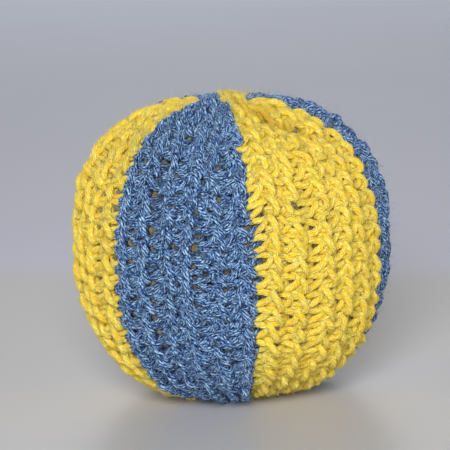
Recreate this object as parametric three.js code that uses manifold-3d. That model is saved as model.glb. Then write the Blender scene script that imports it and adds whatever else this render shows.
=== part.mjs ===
// Stuffed crocheted ball: six ribbed panels in two colours, drawn together at the top and
// the bottom, closed with one sewn seam and filled with loose fibre.
// Millimetres. +Z is up, the origin is the middle of the flat that the ball rests on, and
// the front looks along -Y.
import * as THREE from 'three';
import Module from 'manifold-3d';

// Driving dimensions of the ball's outline
const ball_radius = 50;
const crown_height = 46;
const crown_fullness = 2.45;
const base_height = 49.3;
const base_fullness = 2.42;
const rest_cut = 0.8;
const top_dimple_depth = 2;
const bottom_dimple_depth = 1.2;
const dimple_radius = 5;

// Driving dimensions of the crocheted fabric
const fabric_thickness = 4.2;
const ridge_height = 1.6;
const ridges_per_panel = 6;
const ridge_fade_start = 6;
const ridge_fade_length = 24;
const yarn_width = 2.2;
const clearance = 0.3;

// Each panel's share of the way round, counter-clockwise seen from above, from the seam on.
// They are worked by hand, and no two neighbours came out equally wide.
const panel_shares = [62, 61, 57.5, 61.5, 59.5, 58.5];
const seam_azimuth = 188.5;
const panel_colours = ['blue', 'yellow'];

// Driving dimensions of the yarn ends that draw the ball together
const gather_ring_radius = 2.6;
const seam_recess = 0.9;
const seam_rounding = 0.5;

// How finely the forms are cut into facets
const row_count = 20;
const facets_per_ridge = 4;
const ring_steps = 20;
const ring_sides = 8;
const meridian_steps = 600;

const gather_outer_radius = gather_ring_radius + yarn_width / 2;
const panel_end_radius = gather_outer_radius + clearance;
const equator_z = base_height - rest_cut;
const share_total = panel_shares.reduce((sum, share) => sum + share, 0);

const wasm = await Module();
wasm.setup();

// One point of the ball's side outline; t runs from -1 at the bottom to 1 at the top
function outline_point(t) {
  const upper = t > 0;
  const height = upper ? crown_height : base_height;
  const fullness = upper ? crown_fullness : base_fullness;
  const dimple_depth = upper ? top_dimple_depth : bottom_dimple_depth;
  const angle = Math.abs(t) * Math.PI / 2;
  const radius = ball_radius * Math.cos(angle) ** (2 / fullness);
  const rise = height * Math.sin(angle) ** (2 / fullness);
  const dimple = dimple_depth * Math.exp(-((radius / dimple_radius) ** 2));
  return new THREE.Vector2(radius, equator_z + Math.sign(t) * (rise - dimple));
}

// The outline from the bottom gather to the top gather, with the length run so far
function outline_between_gathers() {
  const points = [];
  for (let step = 0; step <= meridian_steps; step += 1) {
    const even = 2 * step / meridian_steps - 1;
    const t = Math.sign(even) * (1 - (1 - Math.abs(even)) ** 2);
    const point = outline_point(t);
    if (point.x >= panel_end_radius) points.push(point);
  }
  const lengths = [0];
  for (let index = 1; index < points.length; index += 1) {
    lengths.push(lengths[index - 1] + points[index].distanceTo(points[index - 1]));
  }
  return { points, lengths };
}

const outline = outline_between_gathers();

// The outline's point and inward direction at a fraction of its length
function outline_at(fraction) {
  const { points, lengths } = outline;
  const target = fraction * lengths[lengths.length - 1];
  let index = lengths.findIndex((length) => length >= target);
  index = Math.min(Math.max(index, 1), points.length - 1);
  const before = points[index - 1];
  const after = points[index];
  const share = (target - lengths[index - 1]) / (lengths[index] - lengths[index - 1]);
  const along = after.clone().sub(before).normalize();
  return {
    point: before.clone().lerp(after, share),
    inward: new THREE.Vector2(-along.y, along.x),
  };
}

// Rows of the fabric's grid, closer together where the ball is drawn in
function row_fractions() {
  const fractions = [];
  for (let row = 0; row <= row_count; row += 1) {
    const even = row / row_count;
    const crowded = (1 - Math.cos(Math.PI * even)) / 2;
    fractions.push((even + crowded) / 2);
  }
  return fractions;
}

// How far a ridge has swollen out at a distance from the axis, from 0 to 1
function ridge_swell(radius) {
  const x = THREE.MathUtils.clamp((radius - ridge_fade_start) / ridge_fade_length, 0, 1);
  return x * x * (3 - 2 * x);
}

// Depth of the groove beside a ridge, at a place across the panel counted in ridges
function groove_depth(place, radius) {
  const crest = (1 - Math.cos(2 * Math.PI * place)) / 2;
  return ridge_height * ridge_swell(radius) * (1 - crest ** 1.5);
}

// A point at an azimuth, counted from the front, on a circle about the axis
function at_azimuth(radius, z, azimuth) {
  return new THREE.Vector3(radius * Math.sin(azimuth), -radius * Math.cos(azimuth), z);
}

// The azimuth, in radians, where panel number `index` starts
function panel_start(index) {
  let share = 0;
  for (let before = 0; before < index; before += 1) share += panel_shares[before];
  return THREE.MathUtils.degToRad(seam_azimuth + 360 * share / share_total);
}

// Half of the room left between two panels: a hair's breadth, or the sewn seam's width
function half_room(boundary) {
  const seam = boundary % panel_shares.length === 0;
  return seam ? yarn_width / 2 + clearance : clearance / 2;
}

// A point of a panel: fraction along the outline, place across from 0 to 1, depth inwards
function panel_point(index, fraction, across, depth) {
  const { point, inward } = outline_at(fraction);
  const radius = point.x + inward.x * depth;
  const start = panel_start(index) + Math.asin(half_room(index) / radius);
  const end = panel_start(index + 1) - Math.asin(half_room(index + 1) / radius);
  return at_azimuth(radius, point.y + inward.y * depth, start + (end - start) * across);
}

// A solid from lists of corners and triangles
function solid_from(corners, triangles) {
  const geometry = new THREE.BufferGeometry();
  geometry.setFromPoints(corners);
  geometry.setIndex(triangles);
  return geometry;
}

// A form as a manifold, with the corners along any seam of it welded
function to_manifold(geometry) {
  const mesh = new wasm.Mesh({
    numProp: 3,
    vertProperties: new Float32Array(geometry.attributes.position.array),
    triVerts: new Uint32Array(geometry.index.array),
  });
  mesh.merge();
  return new wasm.Manifold(mesh);
}

function from_manifold(manifold) {
  const mesh = manifold.getMesh();
  const geometry = new THREE.BufferGeometry();
  geometry.setAttribute('position', new THREE.BufferAttribute(Float32Array.from(mesh.vertProperties), 3));
  geometry.setIndex(Array.from(mesh.triVerts));
  return geometry;
}

// Cuts away what would sink below the surface that the ball rests on
function cut_flat(geometry) {
  const side = 4 * ball_radius;
  const floor = wasm.Manifold.cube([side, side, side], true).translate([0, 0, -side / 2]);
  return from_manifold(to_manifold(geometry).subtract(floor));
}

// A grid of corners, row by row, as two triangles to each cell, facing away from the axis
function grid_triangles(first, columns, rows, outward) {
  const triangles = [];
  for (let row = 0; row < rows; row += 1) {
    for (let column = 0; column < columns; column += 1) {
      const a = first + row * (columns + 1) + column;
      const b = a + 1;
      const c = a + columns + 2;
      const d = a + columns + 1;
      if (outward) triangles.push(a, b, c, a, c, d);
      else triangles.push(a, c, b, a, d, c);
    }
  }
  return triangles;
}

// The strip between the fine outer edge and the coarse inner edge at a drawn-in end
function end_triangles(outer_first, inner_first, faces_up) {
  const triangles = [];
  const push = (a, b, c) => (faces_up ? triangles.push(a, b, c) : triangles.push(a, c, b));
  const half = facets_per_ridge / 2;
  for (let ridge = 0; ridge < ridges_per_panel; ridge += 1) {
    const outer = outer_first + ridge * facets_per_ridge;
    const inner = inner_first + ridge;
    for (let facet = 0; facet < facets_per_ridge; facet += 1) {
      const corner = facet < half ? inner : inner + 1;
      push(outer + facet, outer + facet + 1, corner);
    }
    push(outer + half, inner + 1, inner);
  }
  return triangles;
}

// The cut edge of the fabric along one side of a panel
function side_triangles(outer_first, outer_stride, inner_first, inner_stride, faces_back) {
  const triangles = [];
  for (let row = 0; row < row_count; row += 1) {
    const a = outer_first + row * outer_stride;
    const b = a + outer_stride;
    const c = inner_first + row * inner_stride;
    const d = c + inner_stride;
    if (faces_back) triangles.push(a, b, d, a, d, c);
    else triangles.push(a, d, b, a, c, d);
  }
  return triangles;
}

// One crocheted panel: ridges run from gather to gather, and the inner face is plain
function make_panel(index) {
  const columns = ridges_per_panel * facets_per_ridge;
  const corners = [];
  for (const fraction of row_fractions()) {
    for (let column = 0; column <= columns; column += 1) {
      const radius = outline_at(fraction).point.x;
      const depth = groove_depth(column / facets_per_ridge, radius);
      corners.push(panel_point(index, fraction, column / columns, depth));
    }
  }
  const inner_first = corners.length;
  for (const fraction of row_fractions()) {
    for (let ridge = 0; ridge <= ridges_per_panel; ridge += 1) {
      corners.push(panel_point(index, fraction, ridge / ridges_per_panel, fabric_thickness));
    }
  }
  const outer_stride = columns + 1;
  const inner_stride = ridges_per_panel + 1;
  const outer_top = row_count * outer_stride;
  const inner_top = inner_first + row_count * inner_stride;
  const triangles = [
    ...grid_triangles(0, columns, row_count, true),
    ...grid_triangles(inner_first, ridges_per_panel, row_count, false),
    ...side_triangles(0, outer_stride, inner_first, inner_stride, true),
    ...side_triangles(columns, outer_stride, inner_first + ridges_per_panel, inner_stride, false),
    ...end_triangles(outer_top, inner_top, true),
    ...end_triangles(0, inner_first, false),
  ];
  return cut_flat(solid_from(corners, triangles));
}

// The sewn seam that closes the ball, a round-backed strip in the groove between two panels
function make_seam() {
  const half_width = yarn_width / 2;
  const section = [
    [-half_width, seam_recess + seam_rounding],
    [-half_width + seam_rounding, seam_recess],
    [half_width - seam_rounding, seam_recess],
    [half_width, seam_recess + seam_rounding],
    [half_width, fabric_thickness],
    [-half_width, fabric_thickness],
  ];
  const corners = [];
  for (const fraction of row_fractions()) {
    const { point, inward } = outline_at(fraction);
    for (const [side, depth] of section) {
      const radius = point.x + inward.x * depth;
      const azimuth = panel_start(0) + Math.asin(side / radius);
      corners.push(at_azimuth(radius, point.y + inward.y * depth, azimuth));
    }
  }
  return cut_flat(solid_from(corners, tube_triangles(section.length, row_count)));
}

// Triangles of a closed tube of corners, ring by ring, with a flat fan at either end
function tube_triangles(sides, rings) {
  const triangles = [];
  for (let ring = 0; ring < rings; ring += 1) {
    for (let side = 0; side < sides; side += 1) {
      const a = ring * sides + side;
      const b = ring * sides + (side + 1) % sides;
      triangles.push(a, b, b + sides, a, b + sides, a + sides);
    }
  }
  const top = rings * sides;
  for (let side = 1; side < sides - 1; side += 1) {
    triangles.push(0, side + 1, side);
    triangles.push(top, top + side, top + side + 1);
  }
  return triangles;
}

// The yarn end that draws the panels together: a ring, tied off with a stitch across it
function make_gather(fraction, side) {
  const yarn_radius = yarn_width / 2;
  const stitch_radius = yarn_radius / 2;
  const stitch_length = 2 * gather_ring_radius;
  const z = outline_at(fraction).point.y - side * fabric_thickness / 2;
  const ring = new THREE.TorusGeometry(gather_ring_radius, yarn_radius, ring_sides, ring_steps);
  const stitch = new THREE.CylinderGeometry(stitch_radius, stitch_radius, stitch_length, ring_sides);
  const geometry = from_manifold(to_manifold(ring).add(to_manifold(stitch)));
  geometry.translate(0, 0, z);
  return geometry;
}

// The fibre filling, clear of the fabric all round by the same small gap
function make_stuffing() {
  const depth = fabric_thickness + clearance;
  const azimuths = [];
  for (let index = 0; index < panel_shares.length; index += 1) {
    const start = panel_start(index);
    const step = (panel_start(index + 1) - start) / ridges_per_panel;
    for (let ridge = 0; ridge < ridges_per_panel; ridge += 1) azimuths.push(start + ridge * step);
  }
  const corners = [];
  for (const fraction of row_fractions()) {
    const { point, inward } = outline_at(fraction);
    for (const azimuth of azimuths) {
      corners.push(at_azimuth(point.x + inward.x * depth, point.y + inward.y * depth, azimuth));
    }
  }
  return solid_from(corners, tube_triangles(azimuths.length, row_count));
}

function yarn_material(name, colour) {
  return new THREE.MeshStandardMaterial({ name, color: colour, roughness: 0.95, metalness: 0 });
}

function blue_yarn() {
  return yarn_material('blue_yarn', 0x5f7daa);
}

function yellow_yarn() {
  return yarn_material('yellow_yarn', 0xebd76e);
}

function fibre_filling() {
  return yarn_material('fibre_filling', 0xb39a4a);
}

const ball = new THREE.Group();
ball.name = 'crocheted_ball';

function add_piece(name, geometry, material) {
  const mesh = new THREE.Mesh(geometry, material);
  mesh.name = name;
  ball.add(mesh);
}

panel_shares.forEach((share, index) => {
  const colour = panel_colours[index % panel_colours.length];
  const material = colour === 'blue' ? blue_yarn() : yellow_yarn();
  add_piece(`panel_${index + 1}_${colour}`, make_panel(index), material);
});
add_piece('closing_seam', make_seam(), yellow_yarn());
add_piece('top_gather', make_gather(1, 1), yellow_yarn());
add_piece('bottom_gather', make_gather(0, -1), blue_yarn());
add_piece('stuffing', make_stuffing(), fibre_filling());

export default ball;
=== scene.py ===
import math

import bpy
import numpy as np
from bpy.props import FloatProperty, FloatVectorProperty, IntProperty, PointerProperty
from mathutils import Matrix, Vector


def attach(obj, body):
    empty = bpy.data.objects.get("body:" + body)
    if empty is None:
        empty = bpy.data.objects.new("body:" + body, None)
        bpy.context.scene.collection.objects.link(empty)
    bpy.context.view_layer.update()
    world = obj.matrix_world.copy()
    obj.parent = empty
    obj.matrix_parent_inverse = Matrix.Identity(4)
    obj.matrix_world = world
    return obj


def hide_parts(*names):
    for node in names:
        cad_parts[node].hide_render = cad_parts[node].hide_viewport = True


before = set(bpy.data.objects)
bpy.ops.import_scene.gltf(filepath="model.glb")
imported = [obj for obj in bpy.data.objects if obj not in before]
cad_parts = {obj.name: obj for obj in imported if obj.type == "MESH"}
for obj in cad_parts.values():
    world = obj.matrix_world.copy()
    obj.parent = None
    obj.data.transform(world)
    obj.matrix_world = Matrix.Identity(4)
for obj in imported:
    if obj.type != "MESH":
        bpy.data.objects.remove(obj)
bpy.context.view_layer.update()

bl_info = {
    "name": "Crocheted ball",
    "version": (1, 0, 0),
    "blender": (4, 5, 0),
    "location": "3D View > Sidebar > Ball",
    "description": "Builds a stuffed crocheted ball of ribbed panels, stitch by stitch",
    "category": "Object",
}

PANELS = (
    "panel_1_blue",
    "panel_2_yellow",
    "panel_3_blue",
    "panel_4_yellow",
    "panel_5_blue",
    "panel_6_yellow",
)

# The share of the turn that each panel takes, in degrees, as the photograph shows them
PANEL_SHARES = (62, 61, 57.5, 61.5, 59.5, 58.5)

# One single crochet into the back loop, as the places that the yarn's middle line passes.
# A place is along the row in stitches, up the row in rows, and towards the row's own front
# in yarn radii. The next stitch repeats it one stitch further on.
STITCH_ROUTE = (
    # the bar behind the last loops, then down to the chain of the row before
    (-0.94, 0.76, -0.95),
    (-0.64, 0.68, -1.40),
    (-0.38, 0.48, -1.45),
    (-0.20, 0.15, -1.45),
    (-0.15, -0.22, -1.15),
    # under that chain's near loop and up in front of it: the left leg
    (-0.12, -0.42, -0.28),
    (-0.12, -0.22, 0.68),
    (-0.13, 0.15, 0.88),
    (-0.16, 0.48, 0.88),
    (-0.25, 0.80, 0.70),
    # over the hook
    (-0.12, 1.02, 0.42),
    (0.05, 1.08, 0.32),
    (0.20, 1.00, 0.46),
    # the right leg, down and back under the chain
    (0.26, 0.80, 0.74),
    (0.17, 0.48, 0.88),
    (0.13, 0.15, 0.88),
    (0.12, -0.22, 0.68),
    (0.12, -0.42, -0.28),
    (0.12, -0.22, -1.15),
    # up behind, and through the loops on the hook
    (0.20, 0.15, -1.45),
    (0.26, 0.50, -1.35),
    (0.20, 0.80, -1.02),
    (0.02, 0.95, -0.55),
    # the new loop: its near strand, its end round the next stitch, its free strand
    (0.20, 1.08, 0.05),
    (0.55, 1.08, 0.22),
    (0.88, 1.09, 0.10),
    (1.09, 1.18, -0.70),
    (1.00, 1.38, -1.75),
    (0.68, 1.24, -2.15),
    (0.36, 1.02, -2.05),
    (0.12, 0.84, -1.35),
)

# The place in a pair of rows, counted from the wrong-side row's foot, where the ridge stands
RIDGE_ROW = 1.12

# Where the random draws of each piece of work start
FABRIC_SEED = 11
FIRST_PANEL_SEED = 100
SEAM_SEED = 7
GATHER_SEED = 8
FILLING_SEED = 5


class BallShape(bpy.types.PropertyGroup):
    """The ball's outline, the same one that the solids have"""

    radius: FloatProperty(
        name="Radius", description="Over the ridges, at the widest place", default=0.050, unit="LENGTH"
    )
    crown_height: FloatProperty(
        name="Crown height", description="The top above the widest place", default=0.046, unit="LENGTH"
    )
    crown_fullness: FloatProperty(
        name="Crown fullness", description="The outline's power: 2 is an ellipse", default=2.45, min=1.5
    )
    base_height: FloatProperty(
        name="Base height", description="The bottom below the widest place", default=0.0493, unit="LENGTH"
    )
    base_fullness: FloatProperty(
        name="Base fullness", description="The outline's power: 2 is an ellipse", default=2.42, min=1.5
    )
    rest_cut: FloatProperty(
        name="Rest flat", description="How far the ball is pressed flat below", default=0.0008, unit="LENGTH"
    )
    top_dimple: FloatProperty(
        name="Top dimple", description="How far the top gather is drawn in", default=0.002, unit="LENGTH"
    )
    bottom_dimple: FloatProperty(
        name="Bottom dimple",
        description="How far the lower gather is drawn in",
        default=0.0012,
        unit="LENGTH",
    )
    dimple_radius: FloatProperty(
        name="Dimple radius", description="How wide both dimples are", default=0.005, unit="LENGTH"
    )
    gather_radius: FloatProperty(
        name="Gather radius", description="Where the rows end round a gather", default=0.004, unit="LENGTH"
    )
    seam_azimuth: FloatProperty(
        name="Seam azimuth",
        description="Where the first panel starts",
        default=math.radians(188.5),
        subtype="ANGLE",
    )


class CrochetYarn(bpy.types.PropertyGroup):
    """The yarn, and how it is worked"""

    width: FloatProperty(
        name="Width", description="Of the relaxed yarn", default=0.00218, unit="LENGTH", precision=4
    )
    plies: IntProperty(name="Plies", description="Strands twisted into the yarn", default=6, min=2)
    twist_length: FloatProperty(
        name="Twist length", description="Yarn in one full twist", default=0.011, unit="LENGTH"
    )
    ply_groove: FloatProperty(
        name="Ply groove", description="Depth as a share of the yarn's radius", default=0.26, max=0.5
    )
    stitches: IntProperty(name="Stitches", description="In one row, gather to gather", default=26, min=4)
    rows: IntProperty(name="Rows", description="In one panel, an even number", default=12, min=2)
    fold: FloatProperty(
        name="Fold",
        description="How far ridges stand out and valleys draw in",
        default=0.0008,
        unit="LENGTH",
        precision=4,
    )
    crest: FloatProperty(
        name="Crest",
        description="Ridge tops above the fabric's middle",
        default=0.0037,
        unit="LENGTH",
        precision=4,
    )
    shown_step: FloatProperty(
        name="Shown step",
        description="Ring spacing where yarn shows",
        default=0.00085,
        unit="LENGTH",
        precision=4,
    )
    hidden_step: FloatProperty(
        name="Hidden step",
        description="Ring spacing inside the fabric",
        default=0.0017,
        unit="LENGTH",
        precision=4,
    )
    fuzz: IntProperty(name="Loose fibres", description="On each panel", default=14000, min=0)
    fuzz_length: FloatProperty(
        name="Loose fibre length",
        description="Of the longest ones",
        default=0.0028,
        unit="LENGTH",
        precision=4,
    )
    fuzz_width: FloatProperty(
        name="Loose fibre width", description="At its root", default=0.00006, unit="LENGTH", precision=5
    )


def colour_property(name, description, default):
    return FloatVectorProperty(
        name=name, description=description, default=default, subtype="COLOR", size=3, min=0, max=1
    )


class BallColours(bpy.types.PropertyGroup):
    """The colours of the yarns, the filling and the studio"""

    # Fibre tones of each yarn: dark, body and pale, spread at random along the fibres. The pale tones stand
    # partly for painted highlights and the dark tones partly for painted shade between the fibres; the dark
    # tones also colour the painted shade between the plies and deep in the fabric.
    blue_dark: colour_property("Blue, dark", "Deepest fibres of the blue yarn", (0.001, 0.008, 0.045))
    blue: colour_property("Blue", "Body of the blue yarn", (0.042, 0.185, 0.62))
    blue_light: colour_property("Blue, light", "Palest fibres of the blue yarn", (0.50, 0.77, 1.0))
    yellow_dark: colour_property("Yellow, dark", "Deepest fibres of the yellow yarn", (0.95, 0.59, 0.012))
    yellow: colour_property("Yellow", "Body of the yellow yarn", (0.98, 0.69, 0.024))
    yellow_light: colour_property("Yellow, light", "Palest fibres of the yellow yarn", (1.0, 0.85, 0.26))
    filling_dark: colour_property("Filling, dark", "Shaded fibres of the filling", (0.07, 0.058, 0.03))
    filling: colour_property("Filling", "Lit fibres of the filling", (0.30, 0.25, 0.12))
    floor: colour_property("Floor", "The table top", (0.59, 0.59, 0.61))
    # The backdrop is painted darker just behind the table and paler at the picture's top: painted light.
    backdrop_near: colour_property("Backdrop, near", "Just behind the table", (0.59, 0.61, 0.755))
    backdrop_far: colour_property("Backdrop, far", "At the picture's top", (0.78, 0.84, 0.99))


def bell(place, middle, width, power=2):
    """A smooth bump that is one at its middle and nearly nothing two widths away."""
    return np.exp(-(((place - middle) / width) ** power))


def wave_field(rng, count, most_turns, rate_scale):
    """A smooth random field over the fabric, of about unit size, that closes up round the ball."""
    turns = rng.integers(-most_turns, most_turns + 1, count)
    rates = rng.normal(0, rate_scale, count)
    phases = rng.uniform(0, 2 * math.pi, count)

    def field(turn, stitch):
        total = 0
        for k, rate, phase in zip(turns, rates, phases):
            total = total + np.sin(2 * math.pi * (k * turn + rate * stitch) + phase)
        return total / math.sqrt(count / 2)

    return field


class Fabric:
    """Turns rows round the ball, stitches up it and heights out of it into points."""

    OUTLINE_STEPS = 4000

    # How far a row reaches past its first and its last stitch, in stitches
    END_ROOM = 0.6

    def __init__(self):
        self.shape = bpy.context.scene.ball_shape
        self.yarn = bpy.context.scene.crochet_yarn
        self.all_rows = self.yarn.rows * len(PANELS)
        rng = np.random.default_rng(FABRIC_SEED)
        self.drift = wave_field(rng, count=8, most_turns=4, rate_scale=0.02)
        self.wander = wave_field(rng, count=14, most_turns=22, rate_scale=0.06)
        self.creep = wave_field(rng, count=12, most_turns=12, rate_scale=0.05)
        self.lumps = wave_field(rng, count=12, most_turns=7, rate_scale=0.05)
        starts = [0, *np.cumsum(PANEL_SHARES)]
        self.starts = self.shape.seam_azimuth + np.array(starts) * 2 * math.pi / starts[-1]
        self.make_outline()

    def make_outline(self):
        """The ball's side outline from gather to gather, and which way is out of it."""
        shape = self.shape
        even = np.linspace(-1, 1, self.OUTLINE_STEPS + 1)
        angle = (1 - (1 - np.abs(even)) ** 2) * math.pi / 2
        upper = even > 0
        height = np.where(upper, shape.crown_height, shape.base_height)
        fullness = np.where(upper, shape.crown_fullness, shape.base_fullness)
        depth = np.where(upper, shape.top_dimple, shape.bottom_dimple)
        radius = shape.radius * np.maximum(np.cos(angle), 0) ** (2 / fullness)
        rise = height * np.sin(angle) ** (2 / fullness)
        dimple = depth * bell(radius, 0, shape.dimple_radius)
        z = shape.base_height - shape.rest_cut + np.sign(even) * (rise - dimple)
        z = np.maximum(z, 0)
        keep = radius >= shape.gather_radius
        self.radius, self.z = radius[keep], z[keep]
        steps = np.hypot(np.diff(self.radius), np.diff(self.z))
        self.length = np.concatenate([[0], np.cumsum(steps)])
        slope_r = np.gradient(self.radius, self.length)
        slope_z = np.gradient(self.z, self.length)
        size = np.hypot(slope_r, slope_z)
        self.out_r, self.out_z = slope_z / size, -slope_r / size

    def azimuth(self, row):
        """Row 0 is where the first panel starts."""
        places = np.arange(len(PANELS) + 1) * self.yarn.rows
        turns, rest = np.divmod(row, self.all_rows)
        return np.interp(rest, places, self.starts) + turns * 2 * math.pi

    def share_of_row(self, stitch):
        """How far up its row a stitch lies: 0 at the bottom gather, 1 at the top one."""
        return (stitch + self.END_ROOM) / (self.yarn.stitches + 2 * self.END_ROOM)

    def calm(self, stitch):
        """One over most of the ball, and nothing at both gathers."""
        steepness = 12
        share = self.share_of_row(stitch)
        return np.clip(np.minimum(share, 1 - share) * steepness, 0, 1)

    def settled(self, row, stitch):
        """Where rows and stitches come to lie once the ball has been stuffed and handled."""
        drift_rows, wander_rows, creep_stitches = 0.12, 0.13, 0.15
        turn = row / self.all_rows
        aside = drift_rows * self.drift(turn, stitch) + wander_rows * self.wander(turn, stitch)
        up = creep_stitches * self.creep(turn, stitch)
        calm = self.calm(stitch)
        return row + self.swerve(row, stitch) + calm * aside, stitch + calm * up

    def place(self, row, stitch, height):
        """Points for rows, stitches and heights over the fabric's middle."""
        yarn = self.yarn
        lump_height = 0.0004
        ridge = yarn.fold * np.cos(math.pi * (row - RIDGE_ROW))
        lumps = lump_height * self.lumps(row / self.all_rows, stitch)
        lift = height - yarn.crest + self.calm(stitch) * (ridge + lumps) + self.tuft(row, stitch)
        row, stitch = self.settled(row, stitch)
        lift = lift + self.crease(row, stitch)[0]
        along = np.clip(self.share_of_row(stitch), 0, 1) * self.length[-1]
        radius = np.interp(along, self.length, self.radius)
        z = np.interp(along, self.length, self.z)
        radius = radius + lift * np.interp(along, self.length, self.out_r)
        z = z + lift * np.interp(along, self.length, self.out_z)
        azimuth = self.azimuth(row)
        return np.stack([radius * np.sin(azimuth), -radius * np.cos(azimuth), z], -1)

    def crease(self, row, stitch):
        """The fold below the top of the front yellow panel, with two wrinkles bunched up above it.

        Gives how far the fabric is lifted there, in metres, and how deep in the fold's shade it is.
        Both go by how many stitches a place is above the fold's slanting line.
        """
        first_row, first_stitch, slant = 38.0, 24.15, -0.62
        middle_row, half_width = 3.2, 3.4
        above = stitch - first_stitch - slant * (row - first_row)
        shown = bell(row - first_row, middle_row, half_width, power=4)
        fold = -0.0022 * bell(above, -0.1, 0.45)
        wrinkles = 0.0032 * bell(above, 1.15, 0.5) + 0.0020 * bell(above, 2.5, 0.45)
        shade = bell(above, 0.45, 0.4) + 0.4 * bell(above, 1.9, 0.3)
        return shown * (fold + wrinkles), shown * shade

    def swerve(self, row, stitch):
        """How far that panel's rows are pulled aside above the fold."""
        first_row = PANELS.index("panel_4_yellow") * self.yarn.rows
        first_stitch, stitches_to_full, rows_aside = 21.5, 3, -1.2
        across = np.clip((row - first_row) / self.yarn.rows, 0, 1)
        above = np.clip((stitch - first_stitch) / stitches_to_full, 0, 1)
        return rows_aside * np.sin(math.pi * across) * above

    def tuft(self, row, stitch):
        """The knob that the front blue panel's last stitches make where they are drawn in."""
        height = 0.0022
        middle_row, half_rows = 29.6, 3.5
        middle_stitch, half_stitches = 25.6, 0.9
        across = (row - middle_row) / half_rows
        up = (stitch - middle_stitch) / half_stitches
        return height * np.exp(-(across**2) - up**2)


def smooth_route(points, steps):
    """A curve through the points, with so many steps from each to the next."""
    before = np.vstack([2 * points[0] - points[1], points[:-1]])
    after = np.vstack([points[1:], 2 * points[-1] - points[-2]])
    slopes = (after - before) / 2
    t = np.linspace(0, 1, steps, endpoint=False)[None, :, None]
    start, end = points[:-1, None], points[1:, None]
    start_slope, end_slope = slopes[:-1, None], slopes[1:, None]
    curve = (2 * t**3 - 3 * t**2 + 1) * start + (-2 * t**3 + 3 * t**2) * end
    curve = curve + (t**3 - 2 * t**2 + t) * start_slope + (t**3 - t**2) * end_slope
    return np.vstack([curve.reshape(-1, points.shape[1]), points[-1:]])


def lengths_along(points):
    steps = np.linalg.norm(np.diff(points, axis=0), axis=1)
    return np.concatenate([[0], np.cumsum(steps)])


def respaced(points, steps, values):
    """The route with rings about as far apart as steps says, and the lists of values carried along."""
    gaps = np.linalg.norm(np.diff(points, axis=0), axis=1)
    count = np.concatenate([[0], np.cumsum(gaps * 2 / (steps[1:] + steps[:-1]))])
    places = np.linspace(0, count[-1], int(count[-1]) + 1)
    spread = np.stack([np.interp(places, count, points[:, k]) for k in range(3)], -1)
    return spread, [np.interp(places, count, value) for value in values]


def carried_frames(points):
    """Tangents, and a pair of cross directions that never spin about the route."""
    tangents = np.gradient(points, axis=0)
    tangents /= np.linalg.norm(tangents, axis=1)[:, None] + 1e-12
    side = Vector(tangents[0]).orthogonal().normalized()
    sides = np.empty_like(points)
    for index, tangent in enumerate(tangents):
        tangent = Vector(tangent)
        side = side - tangent * side.dot(tangent)
        side.normalize()
        sides[index] = side
    return tangents, sides, np.cross(tangents, sides)


def tube_faces(rings, sides, count=1):
    """Faces of like tubes whose rings of corners follow one another: quads, and both their ends."""
    base = np.arange(count)[:, None, None] * rings * sides
    ring = np.arange(rings - 1)[None, :, None] * sides
    corner = np.arange(sides)[None, None]
    a = base + ring + corner
    b = base + ring + (corner + 1) % sides
    quads = np.stack([a, b, b + sides, a + sides], -1).reshape(-1, 4)
    first_ends = base[:, 0] + np.arange(sides)[None, ::-1]
    last_ends = base[:, 0] + (rings - 1) * sides + np.arange(sides)[None]
    return [quads, first_ends, last_ends]


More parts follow.
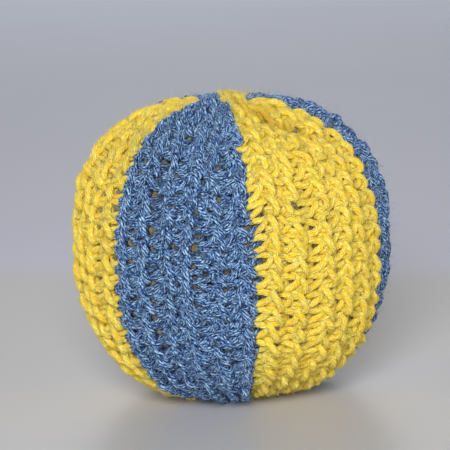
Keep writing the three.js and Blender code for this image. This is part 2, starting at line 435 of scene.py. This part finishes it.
class YarnTube:
    """A plied yarn laid along a route: its rings of corners and what its material reads."""

    CORNERS_PER_PLY = 3

    # The power that makes the valleys between the plies narrow: 1 is a plain wave's
    VALLEY_POWER = 1.2

    # The lowest that a corner may lie over the table, in metres
    LOWEST = 0.0001

    def __init__(self, centres, heights, shade, yarn, rng, thin=1.0):
        self.centres, self.heights, self.yarn = centres, heights, yarn
        self.tangents, side, other = carried_frames(centres)
        sides = self.CORNERS_PER_PLY * yarn.plies
        spot = np.arange(sides) / sides
        along = lengths_along(centres)
        twist = -2 * math.pi * along / yarn.twist_length
        angle = 2 * math.pi * spot[None] + twist[:, None]
        self.valley = (1 - np.abs(np.sin(math.pi * spot * yarn.plies))) ** self.VALLEY_POWER
        self.outward = np.cos(angle)[..., None] * side[:, None] + np.sin(angle)[..., None] * other[:, None]
        radius = self.radii(along, thin, rng)
        self.corners = centres[:, None] + radius[..., None] * self.outward
        self.corners[..., 2] = np.maximum(self.corners[..., 2], self.LOWEST)
        self.strands = self.fibre_places(spot, twist, along, rng)
        self.depth = self.depths(radius, shade)

    def radii(self, along, thin, rng):
        """How thick the yarn is at each corner: uneven along it, and squeezed inside the fabric."""
        short_wave, long_wave, most_phase = 0.0031, 0.0077, 6
        unevenness, long_share, ply_top = 0.04, 0.8, 1.05
        squeezed, freed = 0.85, 0.16
        free_from, free_over = 0.0008, 0.0009
        short = np.sin(along / short_wave + rng.uniform(0, most_phase))
        long = np.sin(along / long_wave + rng.uniform(0, most_phase))
        relaxed = squeezed + freed * np.clip((self.heights - free_from) / free_over, 0, 1)
        radius = self.yarn.width / 2 * thin * (relaxed + unevenness * (short + long_share * long))
        return radius[:, None] * (ply_top - self.yarn.ply_groove * self.valley[None])

    def fibre_places(self, spot, twist, along, rng):
        """Coordinates that follow the fibres, which turn about half as fast as the plies."""
        fibre_turn, units_per_metre, most_start = 0.55, 1000, 500
        fibre = 2 * math.pi * spot[None] + fibre_turn * twist[:, None]
        far = np.broadcast_to(along[:, None] * units_per_metre, fibre.shape)
        start = rng.uniform(0, most_start)
        return np.stack([np.cos(fibre), np.sin(fibre), far + start], -1)

    def depths(self, radius, shade):
        """How deep each corner lies: 0 where it shows, 1 inside the fabric, more in a fold's shade. The
        yarn's material paints shade into its colour by this.
        """
        shown_above, sinks_over, fold_shade = 0.5, 0.6, 4
        crest = self.yarn.crest
        rise = self.heights[:, None] + radius * self.facing()
        depth = np.clip((crest * shown_above - rise) / (crest * sinks_over), 0, 1)
        return depth + fold_shade * shade[:, None]

    def away(self):
        """Directions from the ball's middle."""
        from_middle = self.centres - np.array([0, 0, self.centres[:, 2].mean()])
        return from_middle / np.linalg.norm(from_middle, axis=1)[:, None]

    def facing(self):
        """How squarely each corner looks away from the ball's middle, from -1 to 1."""
        return np.einsum("ijk,ik->ij", self.outward, self.away())


def new_mesh_object(name, corners, face_groups, material, attributes):
    """A smooth mesh from corner points, arrays of faces of one size each, and point attributes."""
    mesh = bpy.data.meshes.new(name)
    mesh.vertices.add(len(corners))
    mesh.vertices.foreach_set("co", np.asarray(corners, np.float32).ravel())
    sizes = np.concatenate([np.full(len(group), group.shape[1]) for group in face_groups])
    loops = np.concatenate([group.ravel() for group in face_groups])
    mesh.loops.add(len(loops))
    mesh.loops.foreach_set("vertex_index", loops)
    mesh.polygons.add(len(sizes))
    mesh.polygons.foreach_set("loop_start", np.concatenate([[0], np.cumsum(sizes)[:-1]]))
    mesh.polygons.foreach_set("loop_total", sizes)
    mesh.update(calc_edges=True)
    mesh.polygons.foreach_set("use_smooth", np.ones(len(sizes), bool))
    for key, values in attributes.items():
        kind, field = ("FLOAT_VECTOR", "vector") if values.ndim == 2 else ("FLOAT", "value")
        attribute = mesh.attributes.new(key, kind, "POINT")
        attribute.data.foreach_set(field, np.asarray(values, np.float32).ravel())
    mesh.validate()
    mesh.materials.append(material)
    piece = bpy.data.objects.new(name, mesh)
    bpy.context.scene.collection.objects.link(piece)
    return piece


def yarn_object(name, tube, material):
    rings, sides = tube.corners.shape[:2]
    attributes = {
        "strand": tube.strands.reshape(-1, 3),
        "groove": np.tile(tube.valley, rings),
        "depth": tube.depth.ravel(),
    }
    corners = tube.corners.reshape(-1, 3)
    return new_mesh_object(name, corners, tube_faces(rings, sides), material, attributes)


def fibre_roots(tube, rng):
    """Rings and corners of the yarn, picked at random from those that show."""
    least_facing, least_height = 0.1, 0.0003
    shown = (tube.facing() > least_facing) & (tube.heights[:, None] > least_height)
    ring_at, side_at = np.nonzero(shown)
    pick = rng.choice(len(ring_at), tube.yarn.fuzz, replace=False)
    return ring_at[pick], side_at[pick]


def fibre_tubes(tube, ring_at, side_at, rings, sides, rng):
    """The corners of loose fibres that leave the yarn there, bend outwards and taper."""
    yarn, count = tube.yarn, len(ring_at)
    root_depth, tip_loss, off_axis = 0.05, 0.65, 0.1
    least_lean, most_lean, stray = 0.15, 0.9, 0.35
    curl, lifted = 0.45, 0.25
    shortest, mostly_short = 0.25, 1.5
    away = tube.away()[ring_at]
    outward = tube.outward[ring_at, side_at]
    start = tube.corners[ring_at, side_at] - outward * yarn.width * root_depth
    sign = rng.choice([-1.0, 1.0], count)[:, None]
    lean = rng.uniform(least_lean, most_lean, count)[:, None]
    heading = lean * outward + sign * tube.tangents[ring_at] + rng.normal(0, stray, (count, 3))
    heading /= np.linalg.norm(heading, axis=1)[:, None]
    bend = rng.normal(0, curl, (count, 3)) + lifted * away
    length = yarn.fuzz_length * rng.uniform(shortest, 1, count) ** mostly_short
    t = np.linspace(0, 1, rings)[None, :, None]
    path = start[:, None] + length[:, None, None] * (t * heading[:, None] + t**2 * bend[:, None])
    side = np.cross(heading, away + off_axis)
    side /= np.linalg.norm(side, axis=1)[:, None]
    other = np.cross(heading, side)
    angle = 2 * math.pi * np.arange(sides) / sides
    cross = np.cos(angle)[:, None] * side[:, None] + np.sin(angle)[:, None] * other[:, None]
    radius = yarn.fuzz_width / 2 * (1 - tip_loss * t)
    corners = path[:, :, None] + radius[..., None] * cross[:, None]
    corners[..., 2] = np.abs(corners[..., 2])
    return corners


def fuzz_object(name, tube, material, rng):
    """Loose fibres that stand off the yarn where it shows: thin three-sided tapers."""
    rings, sides, most_start = 4, 3, 900
    ring_at, side_at = fibre_roots(tube, rng)
    count = len(ring_at)
    corners = fibre_tubes(tube, ring_at, side_at, rings, sides, rng)
    tone = rng.uniform(-1, 1, (count, 2))
    tone = np.concatenate([tone, rng.uniform(0, most_start, (count, 1))], 1)
    strand = np.repeat(tone, rings * sides, axis=0)
    none = np.zeros(len(strand))
    attributes = {"strand": strand, "groove": none, "depth": none}
    faces = tube_faces(rings, sides, count)
    return new_mesh_object(name, corners.reshape(-1, 3), faces, material, attributes)


def laid_yarn(route, fabric, rng, thin=1.0):
    """A yarn tube along a route that is given in rows, stitches and heights."""
    yarn = fabric.yarn
    steps_between_places, shows_above = 6, -0.0005
    curve = smooth_route(route, steps_between_places)
    rows, stitches, heights = curve.T
    steps = np.where(heights > shows_above, yarn.shown_step, yarn.hidden_step)
    shade = fabric.crease(*fabric.settled(rows, stitches))[1]
    centres, values = respaced(fabric.place(*curve.T), steps, (heights, shade))
    return YarnTube(centres, *values, yarn, rng, thin)


def panel_route(index, yarn, rng):
    """The whole way of one panel's yarn, rows up and down, as rows, stitches and heights.

    No two stitches come out alike. Each is stretched, slanted and shifted as a whole, most of all a
    few stitches below the top gather, and each place on its route wavers a little besides.
    """
    stitch = np.array(STITCH_ROUTE)
    loosest, loose_half_width, most_looser = 4, 4, 0.8
    start, stretch, slant = 0.1, 0.07, 0.08
    shift_x, shift_y, shift_z = 0.06, 0.07, 0.15
    waver_x, waver_y, waver_z = 0.015, 0.025, 0.12
    route = []
    for row in range(yarn.rows):
        back_out = row % 2 == 0
        for number in range(yarn.stitches):
            from_top = number if back_out else yarn.stitches - 1 - number
            loose = 1 + most_looser * math.exp(-(((from_top - loosest) / loose_half_width) ** 2))
            x, y, z = stitch.T * rng.normal(1, stretch * loose, (3, 1))
            tilt, turn = rng.normal(0, slant * loose, 2)
            x, y = x + tilt * y, y + turn * x
            x = x + number + start + rng.normal(0, shift_x * loose) + rng.normal(0, waver_x, len(x))
            y = y + row + rng.normal(0, shift_y * loose) + rng.normal(0, waver_y, len(y))
            z = z + rng.normal(0, shift_z * loose) + rng.normal(0, waver_z, len(z))
            if back_out:
                x, z = yarn.stitches - x, -z
            route.append(np.stack([y + index * yarn.rows, x, z * yarn.width / 2], -1))
    return np.vstack(route)


def link(tree, start, end):
    tree.links.new(start, end)


def add_node(tree, kind, inputs=None, **values):
    """A node with its settings, and the values of its named input sockets."""
    made = tree.nodes.new(kind)
    for key, value in values.items():
        setattr(made, key, value)
    for key, value in (inputs or {}).items():
        made.inputs[key].default_value = value
    return made


def mixed(tree, factor, first, second):
    """The socket of a mix of two colours, each of which is a socket or three numbers."""
    made = add_node(tree, "ShaderNodeMix", data_type="RGBA", blend_type="MIX")
    link(tree, factor, made.inputs["Factor"])
    for key, colour in (("A", first), ("B", second)):
        if isinstance(colour, bpy.types.NodeSocket):
            link(tree, colour, made.inputs[key])
        else:
            made.inputs[key].default_value = (*colour, 1)
    return made.outputs["Result"]


def scaled(tree, value, factor):
    made = add_node(tree, "ShaderNodeMath", {1: factor}, operation="MULTIPLY")
    link(tree, value, made.inputs[0])
    return made.outputs["Value"]


def toned(tree, mask, colour, least, most):
    """The colour with its value varied from least to most times by a mask."""
    value = add_node(tree, "ShaderNodeMapRange", {"To Min": least, "To Max": most})
    link(tree, mask, value.inputs["Value"])
    tone = add_node(tree, "ShaderNodeHueSaturation")
    link(tree, value.outputs["Result"], tone.inputs["Value"])
    link(tree, colour, tone.inputs["Color"])
    return tone.outputs["Color"]


def strands_group():
    """Fibre streaks, ply grooves and slow tone changes, from the yarn's own coordinates."""
    name = "Yarn strands"
    if name in bpy.data.node_groups:
        return bpy.data.node_groups[name]
    tree = bpy.data.node_groups.new(name, "ShaderNodeTree")
    for key in ("Streak", "Tone", "Groove", "Depth", "Height"):
        tree.interface.new_socket(key, in_out="OUTPUT", socket_type="NodeSocketFloat")
    out = add_node(tree, "NodeGroupOutput")
    strand = add_node(tree, "ShaderNodeAttribute", attribute_name="strand")
    groove = add_node(tree, "ShaderNodeAttribute", attribute_name="groove")
    link(tree, groove.outputs["Fac"], out.inputs["Groove"])
    depth = add_node(tree, "ShaderNodeAttribute", attribute_name="depth")
    link(tree, depth.outputs["Fac"], out.inputs["Depth"])

    along = add_node(tree, "ShaderNodeMapping", {"Scale": (3.4, 3.4, 1.1)})
    link(tree, strand.outputs["Vector"], along.inputs["Vector"])
    noise = add_node(
        tree, "ShaderNodeTexNoise", {"Scale": 1.0, "Detail": 1.0, "Roughness": 0.5, "Distortion": 0.5}
    )
    link(tree, along.outputs["Vector"], noise.inputs["Vector"])
    streak = add_node(tree, "ShaderNodeMapRange", {"From Min": 0.38, "From Max": 0.62})
    link(tree, noise.outputs["Fac"], streak.inputs["Value"])
    link(tree, streak.outputs["Result"], out.inputs["Streak"])

    slow = add_node(tree, "ShaderNodeMapping", {"Scale": (0.3, 0.3, 0.12)})
    link(tree, strand.outputs["Vector"], slow.inputs["Vector"])
    tone = add_node(tree, "ShaderNodeTexNoise", {"Scale": 1.0, "Detail": 2.0})
    link(tree, slow.outputs["Vector"], tone.inputs["Vector"])
    link(tree, tone.outputs["Fac"], out.inputs["Tone"])

    groove_height = -0.6
    height = add_node(tree, "ShaderNodeMath", {1: groove_height}, operation="MULTIPLY_ADD")
    link(tree, groove.outputs["Fac"], height.inputs[0])
    link(tree, streak.outputs["Result"], height.inputs[2])
    link(tree, height.outputs["Value"], out.inputs["Height"])
    return tree


def new_material(name, roughness):
    """A material, its node tree and its shader."""
    material = bpy.data.materials.new(name)
    material.use_nodes = True
    shader = material.node_tree.nodes["Principled BSDF"]
    shader.inputs["Roughness"].default_value = roughness
    return material, material.node_tree, shader


def yarn_material(name, tones, groove_shade, depth_shade, translucent):
    """Plied yarn: fibres in three tones, with painted shade between the plies and deep in the fabric."""
    if name in bpy.data.materials:
        return bpy.data.materials[name]
    dark, middle, light = tones
    light_left = 0.55
    deep_shade_colour = [light_left * part for part in dark]
    material, tree, shader = new_material(name, roughness=0.5)
    shader.inputs["Specular IOR Level"].default_value = 0.25
    shader.inputs["Sheen Weight"].default_value = 0.08
    shader.inputs["Sheen Roughness"].default_value = 0.5
    shader.inputs["Subsurface Weight"].default_value = translucent
    shader.inputs["Subsurface Radius"].default_value = (1, 1, 1)
    shader.inputs["Subsurface Scale"].default_value = 0.001
    strands = add_node(tree, "ShaderNodeGroup", node_tree=strands_group())
    fibres = add_node(tree, "ShaderNodeValToRGB")
    stops = fibres.color_ramp.elements
    stops[0].color = (*dark, 1)
    stops[1].color = (*light, 1)
    stops[0].position, stops[1].position = 0.08, 0.9
    stops.new(0.42).color = (*middle, 1)
    link(tree, strands.outputs["Streak"], fibres.inputs["Fac"])
    # Painted shade: the colour darkens towards the dark tone in the valleys between the plies.
    plies = mixed(tree, scaled(tree, strands.outputs["Groove"], groove_shade), fibres.outputs["Color"], dark)
    varied = toned(tree, strands.outputs["Tone"], plies, least=0.8, most=1.2)
    # Painted shade: the colour darkens further where the yarn lies deep in the fabric and in the fold below
    # the top.
    colour = mixed(tree, scaled(tree, strands.outputs["Depth"], depth_shade), varied, deep_shade_colour)
    link(tree, colour, shader.inputs["Base Color"])
    bump = add_node(tree, "ShaderNodeBump", {"Strength": 1.0, "Distance": 0.00016})
    link(tree, strands.outputs["Height"], bump.inputs["Height"])
    link(tree, bump.outputs["Normal"], shader.inputs["Normal"])
    return material


def yarn_materials():
    colours = bpy.context.scene.ball_colours
    blues = (colours.blue_dark, colours.blue, colours.blue_light)
    yellows = (colours.yellow_dark, colours.yellow, colours.yellow_light)
    # How strongly each yarn's colour is darkened by painted shade between the plies and deep in the fabric.
    return {
        "blue": yarn_material("plied_blue_yarn", blues, groove_shade=0.85, depth_shade=1.4, translucent=0.1),
        "yellow": yarn_material("plied_yellow_yarn", yellows, groove_shade=0.25, depth_shade=0.2, translucent=0.6),
    }


def filling_material():
    """Loose fibre filling in ochre, mottled and matt."""
    colours = bpy.context.scene.ball_colours
    material, tree, shader = new_material("filling_fibres", roughness=1.0)
    shader.inputs["Sheen Weight"].default_value = 0.2
    place = add_node(tree, "ShaderNodeNewGeometry")
    noise = add_node(tree, "ShaderNodeTexNoise", {"Scale": 1100, "Detail": 4})
    link(tree, place.outputs["Position"], noise.inputs["Vector"])
    ramp = add_node(tree, "ShaderNodeValToRGB")
    ramp.color_ramp.elements[0].color = (*colours.filling_dark, 1)
    ramp.color_ramp.elements[0].position = 0.3
    ramp.color_ramp.elements[1].color = (*colours.filling, 1)
    ramp.color_ramp.elements[1].position = 0.7
    link(tree, noise.outputs["Fac"], ramp.inputs["Fac"])
    link(tree, ramp.outputs["Color"], shader.inputs["Base Color"])
    bump = add_node(tree, "ShaderNodeBump", {"Distance": 0.0004})
    link(tree, noise.outputs["Fac"], bump.inputs["Height"])
    link(tree, bump.outputs["Normal"], shader.inputs["Normal"])
    return material


def eased(tree, value, start, end):
    """A mask that rises softly from 0 to 1 as the value goes from start to end."""
    made = add_node(
        tree, "ShaderNodeMapRange", {"From Min": start, "From Max": end}, interpolation_type="SMOOTHSTEP"
    )
    link(tree, value, made.inputs["Value"])
    return made.outputs["Result"]


def stage_material(line_starts, line_ends, picture_ends):
    """A table top with a faint mottle that turns softly into the backdrop's two colours, darker just behind
    the table and paler up to the picture's top: painted light.
    """
    colours = bpy.context.scene.ball_colours
    material, tree, shader = new_material("table_top_and_backdrop", roughness=0.35)
    shader.inputs["Specular IOR Level"].default_value = 0.15
    place = add_node(tree, "ShaderNodeTexCoord")
    noise = add_node(tree, "ShaderNodeTexNoise", {"Scale": 6.0, "Detail": 3.0})
    link(tree, place.outputs["Object"], noise.inputs["Vector"])
    parts = add_node(tree, "ShaderNodeSeparateXYZ")
    link(tree, place.outputs["Object"], parts.inputs["Vector"])
    far = parts.outputs["Y"]
    up_the_backdrop = eased(tree, far, line_ends, picture_ends)
    backdrop = mixed(tree, up_the_backdrop, colours.backdrop_near, colours.backdrop_far)
    sheet = mixed(tree, eased(tree, far, line_starts, line_ends), colours.floor, backdrop)
    mottled = toned(tree, noise.outputs["Fac"], sheet, least=0.97, most=1.03)
    link(tree, mottled, shader.inputs["Base Color"])
    return material


class BALL_OT_panels(bpy.types.Operator):
    """Work the six ribbed panels, each from one unbroken yarn, with its loose fibres"""

    bl_idname = "ball.panels"
    bl_label = "Panels"

    def execute(self, context):
        fabric = Fabric()
        materials = yarn_materials()
        for index, name in enumerate(PANELS):
            colour = name.split("_")[-1]
            rng = np.random.default_rng(FIRST_PANEL_SEED + index)
            route = panel_route(index, fabric.yarn, rng)
            tube = laid_yarn(route, fabric, rng)
            panel = yarn_object(name + "_crochet", tube, materials[colour])
            fuzz = fuzz_object(name + "_fuzz", tube, materials[colour], rng)
            for piece in (panel, fuzz):
                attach(piece, "root")
                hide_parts(name)
        return {"FINISHED"}


class BALL_OT_seam(bpy.types.Operator):
    """Sew the last row to the first one with whip stitches, which closes the ball"""

    bl_idname = "ball.seam"
    bl_label = "Closing seam"

    def execute(self, context):
        fabric = Fabric()
        turns, places_per_turn = fabric.yarn.stitches, 12
        half_rows, middle, half_height = 0.42, 0.0004, 0.0019
        t = np.linspace(0, turns, turns * places_per_turn + 1)
        angle = 2 * math.pi * t
        route = np.stack([half_rows * np.sin(angle), t, middle + half_height * np.cos(angle)], -1)
        tube = laid_yarn(route, fabric, np.random.default_rng(SEAM_SEED), thin=0.85)
        piece = yarn_object("closing_seam_stitches", tube, yarn_materials()["yellow"])
        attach(piece, "root")
        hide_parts("closing_seam")
        return {"FINISHED"}


class BALL_OT_gathers(bpy.types.Operator):
    """Draw the row ends together at the top and the bottom with a yarn end, and lay the end across the
    gather
    """

    bl_idname = "ball.gathers"
    bl_label = "Gathers"

    def execute(self, context):
        fabric = Fabric()
        materials = yarn_materials()
        for name, side, colour in (("top_gather", 1, "yellow"), ("bottom_gather", -1, "blue")):
            tube = self.gather_tube(fabric, side)
            piece = yarn_object(name + "_yarn", tube, materials[colour])
            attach(piece, "root")
            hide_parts(name)
        return {"FINISHED"}

    def gather_tube(self, fabric, side):
        """Two wavy rounds of yarn through the row ends, and its end laid across the ring."""
        rounds, dips, places_per_dip, places_across = 2, 15, 4, 8
        ring_radius, sway, tightening = 0.0034, 0.0005, 0.00045
        depth, dip, lift_per_round, slope = 0.0019, 0.0008, 0.0004, 0.0002
        t = np.linspace(0, rounds, rounds * dips * places_per_dip + 1)
        angle = 2 * math.pi * t
        radius = ring_radius + sway * np.sin(dips * angle) - tightening * t
        edge = fabric.z[-1] if side > 0 else fabric.z[0]
        z = edge - side * (depth - dip * np.cos(dips * angle) - lift_per_round * t)
        points = np.stack([radius * np.cos(angle), radius * np.sin(angle), z], -1)
        last = points[-1]
        far = np.array([-last[0], -last[1], last[2] + slope * side])
        across = [last + (far - last) * k / places_across for k in range(1, places_across + 1)]
        points = smooth_route(np.vstack([points, across]), 2)
        steps = np.full(len(points), fabric.yarn.shown_step)
        level = np.zeros(len(points))
        centres, values = respaced(points, steps, (level, level))
        return YarnTube(centres, *values, fabric.yarn, np.random.default_rng(GATHER_SEED), thin=0.8)


class BALL_OT_stuffing(bpy.types.Operator):
    """Fill the ball with loose fibre, pressed against the inside of the panels"""

    bl_idname = "ball.stuffing"
    bl_label = "Stuffing"

    # The gaps that each pair of rows leaves: how far the filling swells into them, in metres,
    # and their places and sizes in rows and stitches
    GAPS = (
        (0.0014, (1.45, 0.6), (0.38, 0.24)),
        (0.0009, (0.50, 0.4), (0.25, 0.18)),
    )

    def execute(self, context):
        fabric = Fabric()
        rings, columns = 218, 432
        depth, roughness = 0.0007, 0.00012
        row = np.linspace(0, fabric.all_rows, columns, endpoint=False)
        stitch = np.linspace(-fabric.END_ROOM, fabric.yarn.stitches + fabric.END_ROOM, rings)
        row, stitch = np.meshgrid(row, stitch)
        rng = np.random.default_rng(FILLING_SEED)
        height = -depth + rng.normal(0, roughness, row.shape)
        for swelling, place, size in self.GAPS:
            height += swelling * self.bumps(row, stitch, place, size)
        corners = fabric.place(row, stitch, height).reshape(-1, 3)
        piece = new_mesh_object(
            "stuffing_fibre", corners, tube_faces(rings, columns), filling_material(), {}
        )
        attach(piece, "root")
        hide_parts("stuffing")
        return {"FINISHED"}

    def bumps(self, row, stitch, place, size):
        """One bump of unit height in each stitch of each pair of rows."""
        across = (row - place[0] + 1) % 2 - 1
        up = (stitch - place[1] + 0.5) % 1 - 0.5
        return np.exp(-((across / size[0]) ** 2) - (up / size[1]) ** 2)


class BALL_OT_stage(bpy.types.Operator):
    """Set up the floor, the backdrop, the soft light and the photograph's camera"""

    bl_idname = "ball.stage"
    bl_label = "Stage"

    def execute(self, context):
        self.make_sweep()
        self.make_lamps()
        self.make_world()
        self.make_camera(context.scene.ball_shape)
        context.scene.view_settings.view_transform = "Standard"
        return {"FINISHED"}

    def make_sweep(self):
        """A level sheet that is table top in front, and backdrop from a soft line behind the ball."""
        half_width, front, back, bend = 3.0, -2.5, 2.6, 0.35
        line_starts, line_ends, picture_ends = 0.150, 0.185, 1.5
        turned, bend_steps = math.radians(-16), 16
        arc = [math.radians(90 * k / bend_steps) for k in range(bend_steps + 1)]
        line = [(front, 0)]
        line += [(back + bend * math.sin(a), bend * (1 - math.cos(a))) for a in arc]
        corners, faces = [], []
        for y, z in line:
            corners += [(-half_width, y, z), (half_width, y, z)]
        for k in range(len(line) - 1):
            faces.append((2 * k, 2 * k + 1, 2 * k + 3, 2 * k + 2))
        material = stage_material(line_starts, line_ends, picture_ends)
        piece = new_mesh_object("table_and_backdrop", corners, [np.array(faces)], material, {})
        piece.rotation_euler.z = turned

    def make_lamps(self):
        """Soft round lamps: one in front, a weak one at the side and one over the backdrop."""
        ball = Vector((0, 0, 0.045))
        behind = Vector((0.1, 1.2, 0))
        # name, place, aim, width in metres, power in watts
        lamps = (
            ("front", (-0.15, -1.5, 0.75), ball, 0.8, 29.0),
            ("side", (1.3, -1.1, 0.4), ball, 1.2, 4.5),
            ("backdrop", (0.0, 1.8, 1.0), behind, 1.0, 5.0),
        )
        for name, place, aim, width, power in lamps:
            data = bpy.data.lights.new(name, "AREA")
            data.shape = "DISK"
            data.size = width
            data.energy = power
            lamp = bpy.data.objects.new(name, data)
            lamp.location = place
            lamp.rotation_euler = (aim - Vector(place)).to_track_quat("-Z", "Y").to_euler()
            bpy.context.scene.collection.objects.link(lamp)

    def make_world(self):
        """Even light from round the horizon, stronger behind the ball, with little from above."""
        horizon, overhead = (1, 0.98, 0.96), (0.04, 0.04, 0.04)
        in_front, behind = 0.06, 1.1
        world = bpy.data.worlds.new("studio")
        world.use_nodes = True
        tree = world.node_tree
        sky = tree.nodes["Background"]
        place = add_node(tree, "ShaderNodeTexCoord")
        parts = add_node(tree, "ShaderNodeSeparateXYZ")
        link(tree, place.outputs["Generated"], parts.inputs["Vector"])
        high = add_node(tree, "ShaderNodeMapRange", {"From Min": 0.1, "From Max": 0.8})
        link(tree, parts.outputs["Z"], high.inputs["Value"])
        link(tree, mixed(tree, high.outputs["Result"], horizon, overhead), sky.inputs["Color"])
        back = add_node(
            tree,
            "ShaderNodeMapRange",
            {"From Min": -0.2, "From Max": 0.7, "To Min": in_front, "To Max": behind},
        )
        link(tree, parts.outputs["Y"], back.inputs["Value"])
        link(tree, back.outputs["Result"], sky.inputs["Strength"])
        bpy.context.scene.world = world

    def make_camera(self, shape):
        """The photograph's view: the ball's middle in it, and how far and high the camera is."""
        image_size = 450
        middle_x, middle_y = 231.6, 240.0
        pixels_per_metre = 3150
        distance = 14 * shape.radius
        elevation = math.radians(11.0)
        lean = math.radians(3.4)
        forward = Vector((0, math.cos(elevation), -math.sin(elevation)))
        level_up = Vector((0, math.sin(elevation), math.cos(elevation)))
        level_right = Vector((1, 0, 0))
        right = level_right * math.cos(lean) - level_up * math.sin(lean)
        up = level_right * math.sin(lean) + level_up * math.cos(lean)
        middle = Vector((0, 0, shape.base_height - shape.rest_cut))
        aim = middle - right * (middle_x - image_size / 2) / pixels_per_metre
        aim = aim + up * (middle_y - image_size / 2) / pixels_per_metre
        data = bpy.data.cameras.new("photo_camera")
        data.sensor_width = 36
        data.lens = data.sensor_width * pixels_per_metre * distance / image_size
        data.clip_start = 0.01
        camera = bpy.data.objects.new("photo_camera", data)
        turn = Matrix((right, up, -forward)).transposed()
        camera.matrix_world = Matrix.Translation(aim - forward * distance) @ turn.to_4x4()
        bpy.context.scene.collection.objects.link(camera)
        bpy.context.scene.camera = camera


BUILD_STEPS = (BALL_OT_panels, BALL_OT_seam, BALL_OT_gathers, BALL_OT_stuffing, BALL_OT_stage)


class BALL_PT_build(bpy.types.Panel):
    """Lists the ball's sizes and its building steps"""

    bl_idname = "BALL_PT_build"
    bl_label = "Crocheted ball"
    bl_space_type = "VIEW_3D"
    bl_region_type = "UI"
    bl_category = "Ball"

    def draw(self, context):
        scene = context.scene
        for group in (scene.ball_shape, scene.crochet_yarn, scene.ball_colours):
            box = self.layout.box()
            for key in group.__annotations__:
                box.prop(group, key)
        for step in BUILD_STEPS:
            self.layout.operator(step.bl_idname)


CLASSES = (BallShape, CrochetYarn, BallColours, *BUILD_STEPS, BALL_PT_build)


def register():
    for made in CLASSES:
        bpy.utils.register_class(made)
    bpy.types.Scene.ball_shape = PointerProperty(type=BallShape)
    bpy.types.Scene.crochet_yarn = PointerProperty(type=CrochetYarn)
    bpy.types.Scene.ball_colours = PointerProperty(type=BallColours)


def unregister():
    del bpy.types.Scene.ball_colours
    del bpy.types.Scene.crochet_yarn
    del bpy.types.Scene.ball_shape
    for made in reversed(CLASSES):
        bpy.utils.unregister_class(made)


def main():
    register()
    bpy.ops.ball.panels()
    bpy.ops.ball.seam()
    bpy.ops.ball.gathers()
    bpy.ops.ball.stuffing()
    bpy.ops.ball.stage()


if __name__ == "__main__":
    main()
